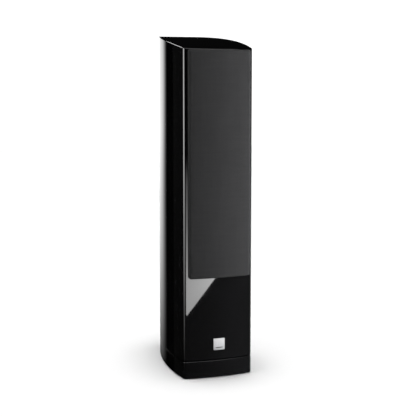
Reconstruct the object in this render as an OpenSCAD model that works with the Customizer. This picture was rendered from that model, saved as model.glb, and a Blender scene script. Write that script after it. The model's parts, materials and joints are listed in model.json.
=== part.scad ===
// Floorstanding loudspeaker: a bowed, lacquered cabinet on a plinth of the same outline, with a
// lift-off cloth grille over two woofers and a dome tweeter, two rear ports and binding posts.
// Frame: +Z up, the front faces -Y, and the origin is the middle of the outline on the floor.
// Inside the modules, y is measured from the chord between the two front corners.

/* [Cabinet] */
// Width between the front corners
front_w = 214; // [212:1:220]
// Height of the top edge at the front corners
front_h = 980; // [980:1:990]
// Depth from the front corners to the rear face
cab_depth = 400; // [396:1:410]
// How far the front bulges past the chord between its corners
bow = 9; // [7:0.5:10]
// Radius of each curved side
side_r = 708; // [700:1:760]
// Distance behind the chord where the sides are widest
side_peak = 114; // [105:1:120]
// Radius of the arched top
top_r = 2323; // [2250:1:2400]
// Distance behind the chord where the arch of the top peaks
top_peak = 475; // [460:1:490]
// Radius of the vertical front edges
edge_r = 8; // [5:0.5:9]
// Thickness of the side walls
wall_t = 18; // [16:1:19]
// Thickness of the baffle behind the chord
baffle_t = 24; // [23:1:26]
// Thickness of the rear panel
rear_t = 22; // [20:1:24]
// Thickness of the top and bottom panels
cap_t = 22; // [20:1:24]
// Thickness of each window brace
brace_t = 18; // [15:1:20]

/* [Plinth] */
// Thickness of the floor pads
pad_t = 2; // [1.5:0.5:3]
// Radius of the floor pads
pad_r = 14; // [10:1:15]
// Height of the plinth's top face above the floor
plinth_top = 53; // [50:1:54]
// Height of the shadow gap between plinth and cabinet
shadow_gap = 3; // [2:0.5:4]
// Wall radius of the threaded hole for a spike (M8 tapping size)
spike_hole_r = 3.4; // [3.4]
// Length of the threaded inserts
insert_len = 20; // [16:1:24]

/* [Grille] */
// Width of the grille over its cloth
grille_w = 190; // [188:1:192]
// Height of the grille's lower edge
grille_low = 306; // [300:1:310]
// Height of the grille's upper edge
grille_high = 976; // [972:1:977]
// Thickness of the grille over its cloth
grille_t = 15; // [14:0.5:16]
// Gap between grille and baffle
grille_gap = 1; // [0.8:0.1:1.5]
// Thickness of the cloth
cloth_t = 0.8; // [0.6:0.1:1]
// Corner radius of the grille seen from the front
grille_corner_r = 6; // [4:1:8]
// Radius of the grille pegs
peg_r = 3.5; // [3:0.25:4]

/* [Drivers] */
// Height of the upper woofer's axis
woofer_upper_z = 745; // [742:1:748]
// Height of the lower woofer's axis
woofer_lower_z = 430; // [426:1:440]
// Height of the tweeter's axis
tweeter_z = 893; // [892:1:896]
// Radius of the woofer flange
woofer_r = 89; // [88:0.5:89]
// Radius of the tweeter faceplate
tweeter_r = 52; // [50:1:54]
// Radius of the woofer cone at its rim
cone_r = 52.5; // [52.5]
// Radius of the woofer voice-coil former
coil_r = 15; // [15]

/* [Rear] */
// Height of the upper port's axis
port_upper_z = 690; // [680:1:700]
// Height of the lower port's axis
port_lower_z = 340; // [335:1:345]
// Inner radius of the port tubes
port_r = 30; // [28:1:31]
// Length of the port tubes
port_len = 150; // [120:5:160]
// Height of the terminal plate's centre
terminal_z = 175; // [165:1:185]
// Spacing of the binding posts
post_pitch = 19; // [19]
// Radius of the socket for a 4 mm plug
plug_r = 2; // [2]

/* [Badge] */
// Side of the square badge
badge_w = 35; // [30:1:38]
// Height of the badge's centre
badge_z = 102; // [100:1:106]

/* [Hidden] */
$fn = 96;
arc_fn = 360;
corner_steps = 8;
eps = 0.01;
// Length of a cut that only has to pass right through a panel
through = 60;

lacquer = "#101012";
bare_board = "#b08a5a";
steel = "#9a9da0";
dark_plastic = "#232427";

// Cabinet outline: two side circles, a front circle and the flat rear face
side_cx = sqrt(side_r * side_r - side_peak * side_peak) - front_w / 2;
front_r = (bow * bow + front_w * front_w / 4) / (2 * bow);
front_cy = front_r - bow;
top_cz = front_h - sqrt(top_r * top_r - top_peak * top_peak);
cab_z = plinth_top + shadow_gap;
inner_back = cab_depth - rear_t;
floor_z = cab_z + cap_t;

// Binding post, outward from the rear face
base_t = 3.5;
collar_gap = 0.3;
collar_t = 1.5;
cap_len = 15;
collar_y = cab_depth + base_t + collar_gap;
cap_y = collar_y + collar_t + collar_gap;
post_end = cap_y + cap_len;
stud_r = 4;
stud_back = 14;
base_r = 8;
collar_r = 7.2;
cap_r = 8.2;
grip_count = 12;
grip_r = 1.2;
grip_circle = 8.9;
grip_start = 3;
nut_r = 7.5;
nut_t = 5;
nut_back = 8;
wire_hole_r = 1.5;
wire_hole_rise = 0.6;
plug_depth = 15;
run_gap = 0.05;

// The whole outline runs from the grille's front to the ends of the posts
grille_reach = bow + grille_gap + grille_t;
chord_y = -(post_end - grille_reach) / 2;

// Woofer, heights along its axis from the flange's front face
flange_t = 5;
gasket_t = 0.8;
woofer_cutout_r = 75;
woofer_screw_circle = 82;
cone_depth = 24;
roll_r = 6.5;
roll_t = 0.8;
motor_front = -64;
plate_t = 6;
magnet_t = 18;
yoke_t = 6;
plate_r = 44;
magnet_r = 45;
magnet_hole_r = 20;
yoke_r = 42;
vent_r = 4;
coil_clearance = 1.4;
pole_clearance = 0.8;
spider_h = -46;
spider_r = 50;
spider_t = 0.6;
spider_waves = 5;
spider_wave_h = 1.5;
spider_glue_in = 2;
spider_glue_out = 6;
roll_mid_r = 58.7;
roll_lip_in = 2.5;
roll_lip_out = 4;
dust_cap_r = 21;
dust_cap_rise = 6;
dust_cap_t = 0.6;
dust_cap_h = -19.75;
former_t = 0.3;
former_low = -76;
winding_r = coil_r + 0.9;
winding_low = -74;
winding_high = -60;
basket_window = [60, 32, 32];
basket_window_r = 40;
basket_window_low = -41;

// Sections of basket and cone: radius, then height
basket_section = [
    [65, 0], [woofer_r, 0], [woofer_r, -flange_t], [74, -flange_t], [51, -60], [51, motor_front],
    [22, motor_front], [22, -60], [47.5, -60], [51.5, spider_h - 2], [45, spider_h - 2],
    [45, spider_h], [53, spider_h], [70, -flange_t], [65, -flange_t]
];
cone_section = [
    [coil_r, -cone_depth], [49, 0], [cone_r, 0], [cone_r, -1.2], [49.4, -1.2], [coil_r, -cone_depth - 1.4]
];

// Tweeter, heights along its axis from the faceplate's front face
faceplate_t = 4;
dome_r = 12.7;
dome_rise = 4.5;
dome_h = -3.6;
dome_t = 0.4;
tweeter_roll_mid_r = 14.8;
tweeter_roll_r = 1.6;
tweeter_roll_t = 0.3;
tweeter_roll_lips = [0.4, 0.5];
tweeter_former_t = 0.3;
tweeter_coil_low = -9;
tweeter_winding_t = 0.35;
tweeter_winding_high = -6;
tweeter_screw_circle = 46;
tweeter_motor_r = 36;
tweeter_magnet_hole_r = 18;
tweeter_plate_r = 34;
tweeter_plate_low = -8.5;
tweeter_magnet_low = -22;
tweeter_back_t = 5;
tweeter_pole_r = 11.9;
tweeter_pole_h = 17;
horn_r = 38;
throat_r = 17;
faceplate_section = [
    [throat_r, -faceplate_t], [tweeter_r, -faceplate_t], [tweeter_r, -0.6], [tweeter_r - 0.6, 0],
    [horn_r, 0], [throat_r, -2.4]
];

// Screws: head radius, head height, shaft radius, length; and how heads and shafts sit in their holes
woofer_screw = [4.2, 2.8, 2, 20];
tweeter_screw = [3.4, 1.9, 1.6, 16];
terminal_screw = [3.3, 1.5, 1.6, 15];
plinth_screw = [4.5, 4, 2.5, 52];
screw_sink = 0.2;
screw_gap = 0.2;
screw_key = [0.55, 0.6];

// Badge: the floor of its pocket, and its thickness
badge_floor = 0.6 - bow;
badge_t = 2;
badge_corner_r = 1.5;

peg_x = grille_w / 2 - 11;
peg_rows = [grille_low + 16, 588, grille_high - 32];
peg_back = 5;
peg_taper = 1.5;
peg_reach = 11.5;
socket_r = 6;
socket_back = 9;
socket_floor = 7;
socket_len = 11.4;
pad_spots = [[88, 40], [46, 365]];
insert_spots = [[70, 72], [40, 338]];
plinth_screw_spots = [[56, 118], [40, 295]];
insert_r = 6;
plinth_screw_z = pad_t + 18;
plinth_screw_r = 2.8;
plinth_recess_r = 5.5;
glue_line = 0.1;
plinth_joint_y = 200;
spacer_inset = 14;

// Rear fittings: how far each lip stands clear of its recess, ports, terminal plate
lip_gap = 0.2;
port_wall = 4;
port_lip_w = 14;
port_lip_t = 3;
port_flare = 8;
terminal_w = 84;
terminal_h = 112;
terminal_t = 3;
terminal_corner_r = 8;
terminal_cutout = [62, 88];
terminal_cutout_r = 6;
terminal_screw_spot = [36, 50];

// Grille frame: windows for the woofers and the tweeter, and the step that the cloth rounds over
woofer_window = [140, 160];
tweeter_window = [110, 80];
window_corner_r = 12;
frame_step = 4;

// Braces: underside heights, and the grid of windows in each
brace_heights = [822, 580, 262];
brace_rim = 14;
brace_window = [72, 84];
brace_window_x = 43;
brace_window_rows = [85, 190, 295];

// Badge: a plain engraved line across its lower part
line_w = 22;
line_h = 2.4;
line_depth = 0.4;
line_drop = 10;

// Crossover
board_w = 120;
board_l = 190;
board_t = 3;
board_corner_r = 4;
parts_z = floor_z + board_t;
inductor_large = [22, 9, 18];
inductor_small = [15, 6, 12];
inductor_large_spots = [[-28, 130], [28, 145]];
inductor_small_spot = [-36, 190];
capacitor_x = 20;
capacitor_y = 190;
capacitor_pitch = 30;
capacitor_r = 11;
capacitor_len = 40;
resistor_spot = [-46, 218];
resistor_pitch = 18;
resistor_size = [40, 9, 9];

// Damping sheets: height bands between the braces, depth band, thickness
damping_bays = [[floor_z + 40, 252], [292, 570], [610, 812], [850, 940]];
damping_depths = [120, 330];
damping_t = 3;

// Leads: terminals to board, then board to each woofer and to the tweeter
lead_r = 2;
lead_z = floor_z + 6;
lead_routes = [
    [[0, 386, 175], [0, 360, 175], [0, 335, 160], [0, 315, 120], [0, 300, 90], [0, 284, lead_z]],
    [[-14, 284, lead_z], [-30, 290, 92], [-41, 292, 110], [-41, 292, 440], [-45, 280, 456],
     [-56, 220, 460], [-62, 80, 460], [-62, 52, 442]],
    [[-22, 277, lead_z], [-38, 288, 94], [-47, 292, 112], [-47, 292, 755], [-50, 280, 771],
     [-58, 220, 775], [-62, 80, 775], [-62, 52, 757]],
    [[-30, 270, lead_z], [-45, 286, 96], [-53, 292, 115], [-53, 292, 875], [-50, 280, 889],
     [-40, 200, 893], [-24, 60, 893], [-20, 24, 893]]
];

// Depth, from the chord, at which a flat disc of radius r lies just inside the bowed front
function flush_y(r) = front_cy - sqrt(front_r * front_r - r * r) + 0.2;
woofer_y = flush_y(woofer_r);
tweeter_y = flush_y(tweeter_r);

// Crossing of two circles, on the right of the line from the first centre to the second
function crossing(c1, r1, c2, r2) =
    let (d = norm(c2 - c1), e = (c2 - c1) / d)
    let (a = (r1 * r1 - r2 * r2 + d * d) / (2 * d))
    c1 + a * e + sqrt(r1 * r1 - a * a) * [e[1], -e[0]];

module placed() {
    translate([0, chord_y, 0]) children();
}

// ---- Outlines seen from above ----

module plan(inset) {
    intersection() {
        translate([-side_cx, side_peak]) circle(r = side_r - inset, $fn = arc_fn);
        translate([side_cx, side_peak]) circle(r = side_r - inset, $fn = arc_fn);
        translate([0, front_cy]) circle(r = front_r - inset, $fn = arc_fn);
        translate([-front_w, -front_w]) square([2 * front_w, front_w + cab_depth - inset]);
    }
}

// Region outside a rounded front corner: an arc between two tangent points, closed past the tip
module corner_cut(inset) {
    side_c = [-side_cx, side_peak];
    front_c = [0, front_cy];
    side_rad = side_r - inset;
    front_rad = front_r - inset;
    centre = crossing(side_c, side_rad - edge_r, front_c, front_rad - edge_r);
    tip = crossing(side_c, side_rad, front_c, front_rad);
    to_side = centre - side_c;
    to_front = centre - front_c;
    first = atan2(to_side[1], to_side[0]);
    sweep = atan2(to_front[1], to_front[0]) - first;
    arc = [for (i = [0 : corner_steps])
        centre + edge_r * [cos(first + sweep * i / corner_steps), sin(first + sweep * i / corner_steps)]];
    polygon(concat(arc, [centre + 2 * (tip - centre)]));
}

// Cabinet outline with its two front edges rounded
module outline(inset = 0) {
    difference() {
        plan(inset);
        corner_cut(inset);
        mirror([1, 0]) corner_cut(inset);
    }
}

// Band across the outline between two depths
module band(y0, y1) {
    translate([-front_w, y0]) square([2 * front_w, y1 - y0]);
}

// Everything below the arched top surface, lowered by drop
module under_arch(drop) {
    translate([0, top_peak, top_cz]) rotate([0, 90, 0])
        cylinder(r = top_r - drop, h = 2 * front_w, center = true, $fn = arc_fn);
}

module rounded_rect(w, h, r) {
    square([w - 2 * r, h], center = true);
    square([w, h - 2 * r], center = true);
    for (x = [-1, 1], y = [-1, 1])
        translate([x * (w / 2 - r), y * (h / 2 - r)]) circle(r = r);
}

// Local +Z points out of the front, or out of the rear
module facing_front(y, z) {
    translate([0, y, z]) rotate([90, 0, 0]) children();
}

module facing_rear(y, z) {
    translate([0, y, z]) rotate([-90, 0, 0]) children();
}

module tube(r_out, r_in, h0, h1) {
    translate([0, 0, h0]) difference() {
        cylinder(r = r_out, h = h1 - h0);
        translate([0, 0, -1]) cylinder(r = r_in, h = h1 - h0 + 2);
    }
}

module ring_of(count, radius, first = 0) {
    for (i = [0 : count - 1])
        rotate([0, 0, first + 360 * i / count]) translate([radius, 0, 0]) children();
}

// Socket-head screw with its head under z = 0
module socket_screw(screw) {
    head_r = screw[0];
    head_h = screw[1];
    difference() {
        union() {
            translate([0, 0, -head_h]) cylinder(r = head_r, h = head_h);
            translate([0, 0, -screw[3]]) cylinder(r = screw[2], h = screw[3] - head_h);
        }
        translate([0, 0, -head_h * screw_key[1]]) cylinder(r = head_r * screw_key[0], h = head_h, $fn = 6);
    }
}

// Hole that a screw's shaft bites into, and the stepped hole it passes through
module screw_bite(screw) {
    translate([0, 0, -screw[3] - 0.5]) cylinder(r = screw[2] + run_gap, h = screw[3]);
}

module screw_seat(screw) {
    translate([0, 0, -screw_sink - screw[1]]) cylinder(r = screw[0] + screw_gap, h = screw[1] + 1);
    translate([0, 0, -screw[3]]) cylinder(r = screw[2] + screw_gap, h = screw[3] + 1);
}

// ---- Cabinet ----

module wall_column() {
    intersection() {
        translate([0, 0, cab_z]) linear_extrude(height = front_h) children();
        under_arch(cap_t);
    }
}

module side_panel() {
    wall_column() intersection() {
        difference() {
            plan(0);
            plan(wall_t);
        }
        translate([0, baffle_t]) square([front_w, inner_back - baffle_t]);
    }
}

module side_panel_left() {
    placed() color(lacquer) mirror([1, 0, 0]) side_panel();
}

module side_panel_right() {
    placed() color(lacquer) side_panel();
}

// Stepped round hole for a driver: its flange recess and the cutout behind it
module driver_hole(y, z, flange_r, depth, cutout_r) {
    facing_front(y, z) {
        translate([0, 0, -depth]) cylinder(r = flange_r, h = through);
        translate([0, 0, -through]) cylinder(r = cutout_r, h = through);
    }
}

module front_baffle() {
    placed() color(lacquer) difference() {
        wall_column() intersection() {
            outline();
            band(-front_w, baffle_t);
        }
        for (z = [woofer_upper_z, woofer_lower_z]) {
            driver_hole(woofer_y, z, woofer_r + lip_gap, flange_t + gasket_t, woofer_cutout_r);
            facing_front(woofer_y, z) ring_of(6, woofer_screw_circle, 30) screw_bite(woofer_screw);
        }
        driver_hole(tweeter_y, tweeter_z, tweeter_r + lip_gap, faceplate_t, tweeter_motor_r + 1);
        facing_front(tweeter_y, tweeter_z) ring_of(4, tweeter_screw_circle, 45) screw_bite(tweeter_screw);
        for (x = [-peg_x, peg_x], z = peg_rows)
            translate([x, 0, 0]) facing_front(0, z)
                translate([0, 0, -socket_back]) cylinder(r = socket_r + run_gap, h = through);
        facing_front(badge_floor, badge_z) linear_extrude(height = through)
            rounded_rect(badge_w + lip_gap, badge_w + lip_gap, badge_corner_r + lip_gap / 2);
    }
}

module at_terminal_screws() {
    for (x = [-1, 1], y = [-1, 1])
        translate([x * terminal_screw_spot[0], y * terminal_screw_spot[1], 0]) children();
}

module rear_panel() {
    placed() color(lacquer) difference() {
        wall_column() intersection() {
            plan(0);
            band(inner_back, cab_depth + 1);
        }
        for (z = [port_upper_z, port_lower_z]) {
            facing_rear(cab_depth, z) {
                translate([0, 0, -port_lip_t]) cylinder(r = port_r + port_lip_w + lip_gap, h = through);
                translate([0, 0, -through]) cylinder(r = port_r + port_wall + lip_gap, h = through);
            }
        }
        facing_rear(cab_depth, terminal_z) {
            translate([0, 0, -terminal_t]) linear_extrude(height = through)
                rounded_rect(terminal_w + 2 * lip_gap, terminal_h + 2 * lip_gap, terminal_corner_r + lip_gap);
            translate([0, 0, -through]) linear_extrude(height = through)
                rounded_rect(terminal_cutout[0], terminal_cutout[1], terminal_cutout_r);
            at_terminal_screws() screw_bite(terminal_screw);
        }
    }
}

module top_panel() {
    placed() color(lacquer) intersection() {
        translate([0, 0, cab_z]) linear_extrude(height = front_h) outline();
        difference() {
            under_arch(0);
            under_arch(cap_t);
        }
    }
}

module inner_plan() {
    intersection() {
        plan(wall_t);
        band(baffle_t, inner_back);
    }
}

module bottom_panel() {
    placed() color(bare_board) difference() {
        translate([0, 0, cab_z]) linear_extrude(height = cap_t) inner_plan();
        at_spots(plinth_screw_spots) translate([0, 0, plinth_screw_z])
            cylinder(r = plinth_screw[2] + run_gap, h = plinth_screw[3] + 1);
    }
}

// Brace across the cabinet, with a grid of windows that leaves a frame along the walls
module brace(z) {
    placed() color(bare_board) translate([0, 0, z]) linear_extrude(height = brace_t) difference() {
        inner_plan();
        intersection() {
            plan(wall_t + brace_rim);
            for (x = [-1, 1], y = brace_window_rows)
                translate([x * brace_window_x, y]) square(brace_window, center = true);
        }
    }
}

module brace_upper() {
    brace(brace_heights[0]);
}

module brace_middle() {
    brace(brace_heights[1]);
}

module brace_lower() {
    brace(brace_heights[2]);
}

// ---- Plinth ----

module at_spots(spots) {
    for (x = [-1, 1], spot = spots) translate([x * spot[0], spot[1], 0]) children();
}

// Four glued blocks under one coat of lacquer, each with one insert and one screw
module plinth() {
    placed() color(lacquer) difference() {
        translate([0, 0, pad_t]) linear_extrude(height = plinth_top - pad_t) difference() {
            outline();
            square([glue_line, 4 * front_w], center = true);
            translate([0, plinth_joint_y]) square([2 * front_w, glue_line], center = true);
        }
        at_spots(insert_spots)
            translate([0, 0, pad_t - 1]) cylinder(r = insert_r + run_gap, h = insert_len + 1);
        at_spots(plinth_screw_spots) {
            cylinder(r = plinth_recess_r, h = plinth_screw_z + plinth_screw[1]);
            cylinder(r = plinth_screw_r, h = plinth_top + 1);
        }
    }
}

module plinth_spacer() {
    placed() color(dark_plastic) difference() {
        translate([0, 0, plinth_top]) linear_extrude(height = shadow_gap) plan(spacer_inset);
        at_spots(plinth_screw_spots) cylinder(r = plinth_screw_r, h = cab_z + 1);
    }
}

module plinth_screws() {
    placed() color(steel) at_spots(plinth_screw_spots) translate([0, 0, plinth_screw_z])
        mirror([0, 0, 1]) socket_screw(plinth_screw);
}

module spike_inserts() {
    placed() color("#b99b4b") at_spots(insert_spots)
        tube(insert_r, spike_hole_r, pad_t, pad_t + insert_len);
}

module floor_pads() {
    placed() color("#151515") at_spots(pad_spots) cylinder(r = pad_r, h = pad_t);
}

// ---- Grille ----

// Slab that follows the bowed front between two distances from it
module bowed_slab(w, z0, z1, near, far, corner_r) {
    intersection() {
        facing_front(0, (z0 + z1) / 2) translate([0, 0, -through])
            linear_extrude(height = 2 * through) rounded_rect(w, z1 - z0, corner_r);
        translate([0, 0, z0]) linear_extrude(height = z1 - z0) intersection() {
            difference() {
                translate([0, front_cy]) circle(r = front_r + far, $fn = arc_fn);
                translate([0, front_cy]) circle(r = front_r + near, $fn = arc_fn);
            }
            band(-through, through);
        }
    }
}

module frame_window(z, size) {
    facing_front(0, z) linear_extrude(height = through)
        rounded_rect(size[0], size[1], window_corner_r);
}

module grille_frame() {
    edge = cloth_t + 0.1;
    front = grille_gap + grille_t - edge;
    placed() color(dark_plastic) difference() {
        union() {
            bowed_slab(grille_w - 2 * edge, grille_low + edge, grille_high - edge,
                       grille_gap, front - frame_step, grille_corner_r - edge);
            bowed_slab(grille_w - 2 * (edge + frame_step), grille_low + edge + frame_step,
                       grille_high - edge - frame_step, front - frame_step - 1, front,
                       grille_corner_r - frame_step + 1);
        }
        for (z = [woofer_upper_z, woofer_lower_z]) frame_window(z, woofer_window);
        frame_window(tweeter_z, tweeter_window);
        for (x = [-peg_x, peg_x], z = peg_rows)
            translate([x, 0, 0]) facing_front(0, z) cylinder(r = peg_r + run_gap, h = peg_reach + 0.5);
    }
}

module grille_cloth() {
    placed() color("#3a3b3d") difference() {
        bowed_slab(grille_w, grille_low, grille_high, grille_gap, grille_gap + grille_t, grille_corner_r);
        bowed_slab(grille_w - 2 * cloth_t, grille_low + cloth_t, grille_high - cloth_t,
                   0, grille_gap + grille_t - cloth_t, grille_corner_r - cloth_t);
    }
}

module grille_pegs() {
    placed() color(dark_plastic) for (x = [-peg_x, peg_x], z = peg_rows)
        translate([x, 0, 0]) facing_front(0, z) {
            translate([0, 0, -peg_back]) cylinder(r1 = peg_r - 1, r2 = peg_r, h = peg_taper);
            translate([0, 0, peg_taper - peg_back]) cylinder(r = peg_r, h = peg_back + peg_reach - peg_taper);
        }
}

module grille_sockets() {
    placed() color(dark_plastic) for (x = [-peg_x, peg_x], z = peg_rows)
        translate([x, 0, 0]) facing_front(0, z) difference() {
            translate([0, 0, -socket_back]) cylinder(r = socket_r, h = socket_len);
            translate([0, 0, -socket_floor]) cylinder(r = peg_r + run_gap, h = through);
        }
}

// ---- Badge: a plain square plate with one engraved line, let into a shallow pocket ----

module badge_plate() {
    placed() color("silver") facing_front(badge_floor, badge_z) difference() {
        linear_extrude(height = badge_t) rounded_rect(badge_w, badge_w, badge_corner_r);
        translate([-line_w / 2, -line_drop - line_h / 2, badge_t - line_depth])
            cube([line_w, line_h, 1]);
    }
}

// ---- Woofers ----

module basket(z) {
    placed() color("#2b2d30") facing_front(woofer_y, z) difference() {
        rotate_extrude() polygon(basket_section);
        ring_of(6, basket_window_r)
            translate([0, -basket_window[1] / 2, basket_window_low]) cube(basket_window);
        ring_of(6, woofer_screw_circle, 30) screw_seat(woofer_screw);
    }
}

module cone(z) {
    placed() color("#17181a") facing_front(woofer_y, z) rotate_extrude() polygon(cone_section);
}

// Thin spherical cap on a base circle, standing on height h
module dome_shell(base_r, rise, t, h) {
    ball_r = (base_r * base_r + rise * rise) / (2 * rise);
    rotate_extrude() intersection() {
        translate([0, h + rise - ball_r]) difference() {
            circle(r = ball_r, $fn = arc_fn);
            circle(r = ball_r - t, $fn = arc_fn);
        }
        translate([0, h]) square([base_r, rise + 1]);
    }
}

module dust_cap(z) {
    placed() color("#1d1e20") facing_front(woofer_y, z)
        dome_shell(dust_cap_r, dust_cap_rise, dust_cap_t, dust_cap_h);
}

// Half-round roll between two lips
module roll(mid_r, r, t, lip_in, lip_out) {
    rotate_extrude() {
        intersection() {
            translate([mid_r, 0]) difference() {
                circle(r = r);
                circle(r = r - t);
            }
            translate([mid_r - r, 0]) square([2 * r, r]);
        }
        translate([mid_r - r - lip_in, 0]) square([lip_in + t / 2, t]);
        translate([mid_r + r - t / 2, 0]) square([lip_out + t / 2, t]);
    }
}

module woofer_surround(z) {
    placed() color("#0e0e0f") facing_front(woofer_y, z)
        roll(roll_mid_r, roll_r, roll_t, roll_lip_in, roll_lip_out);
}

// Corrugated disc between the former and the basket's ledge
module spider(z) {
    steps = 6 * spider_waves;
    inner = coil_r + run_gap;
    span = spider_r - inner;
    glued_in = spider_glue_in / span;
    glued_out = spider_glue_out / span;
    function wave(u) = u < glued_in || u > 1 - glued_out ? 0
        : spider_wave_h * sin(360 * spider_waves * (u - glued_in) / (1 - glued_in - glued_out));
    upper = [for (i = [0 : steps]) [inner + span * i / steps, spider_h + spider_t + wave(i / steps)]];
    lower = [for (i = [steps : -1 : 0]) [inner + span * i / steps, spider_h + wave(i / steps)]];
    placed() color("#c8a75e") facing_front(woofer_y, z) rotate_extrude() polygon(concat(upper, lower));
}

module voice_coil(z) {
    placed() color("#a86a2c") facing_front(woofer_y, z) {
        tube(coil_r, coil_r - former_t, former_low, -cone_depth);
        tube(winding_r, coil_r - former_t / 3, winding_low, winding_high);
    }
}

module woofer_upper_basket() {
    basket(woofer_upper_z);
}

module woofer_lower_basket() {
    basket(woofer_lower_z);
}

module woofer_upper_cone() {
    cone(woofer_upper_z);
}

module woofer_lower_cone() {
    cone(woofer_lower_z);
}

module woofer_upper_dust_cap() {
    dust_cap(woofer_upper_z);
}

module woofer_lower_dust_cap() {
    dust_cap(woofer_lower_z);
}

module woofer_upper_surround() {
    woofer_surround(woofer_upper_z);
}

module woofer_lower_surround() {
    woofer_surround(woofer_lower_z);
}

module woofer_upper_spider() {
    spider(woofer_upper_z);
}

module woofer_lower_spider() {
    spider(woofer_lower_z);
}

module woofer_upper_voice_coil() {
    voice_coil(woofer_upper_z);
}

module woofer_lower_voice_coil() {
    voice_coil(woofer_lower_z);
}

module at_woofers() {
    placed() for (z = [woofer_upper_z, woofer_lower_z]) facing_front(woofer_y, z) children();
}

module woofer_top_plates() {
    color(steel) at_woofers()
        tube(plate_r, coil_r + coil_clearance, motor_front - plate_t, motor_front);
}

module woofer_magnets() {
    color("#3b3b3e") at_woofers()
        tube(magnet_r, magnet_hole_r, motor_front - plate_t - magnet_t, motor_front - plate_t);
}

module woofer_yokes() {
    back = motor_front - plate_t - magnet_t;
    color(steel) at_woofers() difference() {
        union() {
            translate([0, 0, back - yoke_t]) cylinder(r = yoke_r, h = yoke_t);
            translate([0, 0, back - eps])
                cylinder(r = coil_r - pole_clearance, h = plate_t + magnet_t + eps);
        }
        translate([0, 0, back - yoke_t - 1]) cylinder(r = vent_r, h = through);
    }
}

module woofer_gaskets() {
    color("#1a1a1a") at_woofers() difference() {
        tube(woofer_r - 0.5, woofer_cutout_r + 0.5, -flange_t - gasket_t, -flange_t);
        ring_of(6, woofer_screw_circle, 30) translate([0, 0, -through])
            cylinder(r = woofer_screw[2] + 2 * screw_gap, h = through);
    }
}

module woofer_screws() {
    color(steel) at_woofers() ring_of(6, woofer_screw_circle, 30)
        translate([0, 0, -screw_sink]) socket_screw(woofer_screw);
}

// ---- Tweeter ----

module at_tweeter() {
    placed() facing_front(tweeter_y, tweeter_z) children();
}

module tweeter_faceplate() {
    color(dark_plastic) at_tweeter() difference() {
        rotate_extrude() polygon(faceplate_section);
        ring_of(4, tweeter_screw_circle, 45) screw_seat(tweeter_screw);
    }
}

module tweeter_dome() {
    color("#26282b") at_tweeter() dome_shell(dome_r, dome_rise, dome_t, dome_h);
}

module tweeter_surround() {
    color("#141414") at_tweeter() translate([0, 0, dome_h - dome_t])
        roll(tweeter_roll_mid_r, tweeter_roll_r, tweeter_roll_t, tweeter_roll_lips[0], tweeter_roll_lips[1]);
}

module tweeter_voice_coil() {
    color("#a86a2c") at_tweeter() {
        tube(dome_r, dome_r - tweeter_former_t, tweeter_coil_low, dome_h - dome_t);
        tube(dome_r + tweeter_winding_t, dome_r - tweeter_former_t / 3, tweeter_coil_low, tweeter_winding_high);
    }
}

module tweeter_magnet() {
    color("#3b3b3e") at_tweeter()
        tube(tweeter_motor_r, tweeter_magnet_hole_r, tweeter_magnet_low, tweeter_plate_low);
}

module tweeter_pole_pieces() {
    color(steel) at_tweeter() {
        tube(tweeter_plate_r, dome_r + pole_clearance, tweeter_plate_low, -faceplate_t);
        translate([0, 0, tweeter_magnet_low - tweeter_back_t])
            cylinder(r = tweeter_plate_r, h = tweeter_back_t);
        translate([0, 0, tweeter_magnet_low - eps]) cylinder(r = tweeter_pole_r, h = tweeter_pole_h);
    }
}

module tweeter_screws() {
    color(steel) at_tweeter() ring_of(4, tweeter_screw_circle, 45)
        translate([0, 0, -screw_sink]) socket_screw(tweeter_screw);
}

// ---- Ports and terminals ----

// Tube with a flared mouth and a flange let into the rear panel
module port_tube(z) {
    placed() color(dark_plastic) facing_rear(cab_depth, z) rotate_extrude() difference() {
        union() {
            translate([port_r, -port_len]) square([port_wall, port_len]);
            translate([port_r, -port_lip_t]) square([port_lip_w, port_lip_t]);
        }
        difference() {
            translate([port_r - eps, -port_flare]) square([port_flare + eps, port_flare + 1]);
            translate([port_r + port_flare, -port_flare]) circle(r = port_flare);
        }
    }
}

module port_tube_upper() {
    port_tube(port_upper_z);
}

module port_tube_lower() {
    port_tube(port_lower_z);
}

module at_posts() {
    placed() for (x = [-0.5, 0.5])
        translate([x * post_pitch, 0, 0]) facing_rear(0, terminal_z) children();
}

module terminal_plate() {
    placed() color(dark_plastic) facing_rear(cab_depth, terminal_z) difference() {
        translate([0, 0, -terminal_t]) linear_extrude(height = terminal_t)
            rounded_rect(terminal_w, terminal_h, terminal_corner_r);
        for (x = [-0.5, 0.5]) translate([x * post_pitch, 0, -terminal_t - 1])
            cylinder(r = stud_r + run_gap, h = terminal_t + 2);
        at_terminal_screws() screw_seat(terminal_screw);
    }
}

module terminal_screws() {
    placed() color(steel) facing_rear(cab_depth, terminal_z)
        at_terminal_screws() translate([0, 0, -screw_sink]) socket_screw(terminal_screw);
}

// Threaded stud with a nut behind the plate, a cross hole for bare wire and a plug socket
module binding_post_studs() {
    color("#c9a44a") at_posts() difference() {
        union() {
            translate([0, 0, cab_depth - stud_back])
                cylinder(r = stud_r, h = post_end - cab_depth + stud_back);
            translate([0, 0, cab_depth - nut_back]) cylinder(r = nut_r, h = nut_t, $fn = 6);
        }
        translate([0, 0, post_end - plug_depth]) cylinder(r = plug_r, h = plug_depth + 1);
        translate([0, 0, collar_y + wire_hole_rise]) rotate([90, 0, 0])
            cylinder(r = wire_hole_r, h = through, center = true);
    }
}

module binding_post_bases() {
    color(dark_plastic) at_posts() tube(base_r, stud_r + run_gap, cab_depth, cab_depth + base_t);
}

module post_collar(side) {
    placed() color("#c9a44a") translate([side * post_pitch / 2, 0, 0]) facing_rear(0, terminal_z)
        tube(collar_r, stud_r + run_gap, collar_y, collar_y + collar_t);
}

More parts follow.
